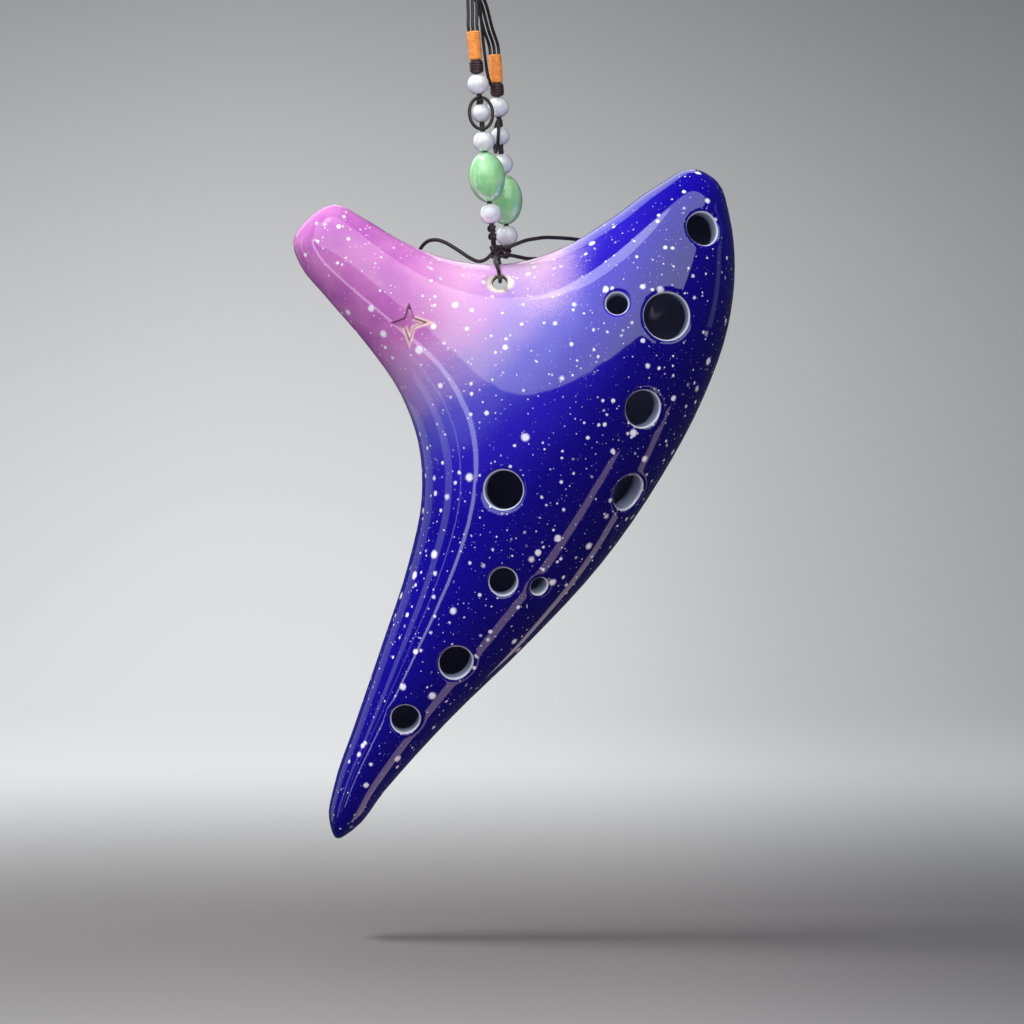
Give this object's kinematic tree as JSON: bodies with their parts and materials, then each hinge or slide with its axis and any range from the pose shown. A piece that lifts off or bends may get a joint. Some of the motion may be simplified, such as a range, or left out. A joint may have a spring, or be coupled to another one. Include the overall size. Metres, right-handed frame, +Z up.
{
  "type": "transverse ocarina on a beaded neck cord",
  "caption": "Glazed ceramic transverse ocarina with finger and thumb holes, a windway and a labium, hanging by its lanyard hole from a beaded, thread-wrapped neck cord with toggle loops.",
  "frame": {"origin": "inside top of the hanging loop, where a hook or a peg bears", "axes": "+Z up, along the hanging cord; +X towards the head lobe, the player's left-hand end; +Y towards the thumb-hole side, so the finger holes face -Y"},
  "size_m": [0.1053, 0.0411, 0.2162],
  "materials": {
    "glaze": "gloss",
    "green_stone": "polished",
    "white_stone": "polished",
    "orange_thread": "satin",
    "dark_thread": "satin",
    "waxed_cord": "satin"
  },
  "bodies": {
    "neck_cord": {"lanyard_loop": "waxed_cord", "join_knot": "waxed_cord", "left_tail": "waxed_cord", "right_tail": "waxed_cord", "short_tail": "waxed_cord", "left_tail_knot": "waxed_cord", "right_tail_knot": "waxed_cord", "short_tail_knot": "waxed_cord", "left_lead": "waxed_cord", "left_knots": "waxed_cord", "left_lower_strand": "waxed_cord", "left_toggle_loop": "waxed_cord", "left_upper_strand": "waxed_cord", "left_dark_wrap": "dark_thread", "left_orange_wrap": "orange_thread", "left_neck_strands": "waxed_cord", "right_lead": "waxed_cord", "right_knots": "waxed_cord", "right_lower_strand": "waxed_cord", "right_toggle_loop": "waxed_cord", "right_upper_strand": "waxed_cord", "right_dark_wrap": "dark_thread", "right_orange_wrap": "orange_thread", "right_neck_strands": "waxed_cord", "middle_strand": "waxed_cord", "gather_knot": "waxed_cord", "hanging_loop": "waxed_cord"},
    "ocarina": {"front_shell": "glaze", "back_shell": "glaze", "mouthpiece": "glaze"},
    "left_lower_bead": {"left_lower_bead": "white_stone"},
    "left_oval_bead": {"left_oval_bead": "green_stone"},
    "left_middle_bead": {"left_middle_bead": "white_stone"},
    "left_toggle_bead": {"left_toggle_bead": "white_stone"},
    "left_upper_bead": {"left_upper_bead": "white_stone"},
    "right_lower_bead": {"right_lower_bead": "white_stone"},
    "right_oval_bead": {"right_oval_bead": "green_stone"},
    "right_middle_bead": {"right_middle_bead": "white_stone"},
    "right_toggle_bead": {"right_toggle_bead": "white_stone"},
    "right_upper_bead": {"right_upper_bead": "white_stone"}
  },
  "joints": [
    {"name": "ocarina_swing", "type": "hinge", "parent": "neck_cord", "child": "ocarina", "pos_m": [0, 0, -0.0908], "axis": [0, 1, 0], "range_deg": [-12, 12]},
    {"name": "left_upper_bead_spin", "type": "hinge", "parent": "neck_cord", "child": "left_upper_bead", "pos_m": [-0.0007, -0.0034, -0.0461], "axis": [0, 0, 1], "continuous": true},
    {"name": "left_toggle_bead_spin", "type": "hinge", "parent": "neck_cord", "child": "left_toggle_bead", "pos_m": [-0.0007, -0.0034, -0.0528], "axis": [0, 0, 1], "continuous": true},
    {"name": "left_middle_bead_spin", "type": "hinge", "parent": "neck_cord", "child": "left_middle_bead", "pos_m": [-0.0007, -0.0034, -0.0593], "axis": [0, 0, 1], "continuous": true},
    {"name": "left_oval_bead_spin", "type": "hinge", "parent": "neck_cord", "child": "left_oval_bead", "pos_m": [-0.0007, -0.0034, -0.0675], "axis": [0, 0, 1], "continuous": true},
    {"name": "left_lower_bead_spin", "type": "hinge", "parent": "neck_cord", "child": "left_lower_bead", "pos_m": [-0.0007, -0.0034, -0.0759], "axis": [0, 0, 1], "continuous": true},
    {"name": "right_upper_bead_spin", "type": "hinge", "parent": "neck_cord", "child": "right_upper_bead", "pos_m": [0.00339, 0.0048, -0.05101], "axis": [0.0279, 0, 0.9996], "continuous": true},
    {"name": "right_toggle_bead_spin", "type": "hinge", "parent": "neck_cord", "child": "right_toggle_bead", "pos_m": [0.00321, 0.0048, -0.05771], "axis": [0.0279, 0, 0.9996], "continuous": true},
    {"name": "right_middle_bead_spin", "type": "hinge", "parent": "neck_cord", "child": "right_middle_bead", "pos_m": [0.00302, 0.0048, -0.06421], "axis": [0.0279, 0, 0.9996], "continuous": true},
    {"name": "right_oval_bead_spin", "type": "hinge", "parent": "neck_cord", "child": "right_oval_bead", "pos_m": [0.0028, 0.0048, -0.0724], "axis": [0.0279, 0, 0.9996], "continuous": true},
    {"name": "right_lower_bead_spin", "type": "hinge", "parent": "neck_cord", "child": "right_lower_bead", "pos_m": [0.00256, 0.0048, -0.0808], "axis": [0.0279, 0, 0.9996], "continuous": true}
  ]
}
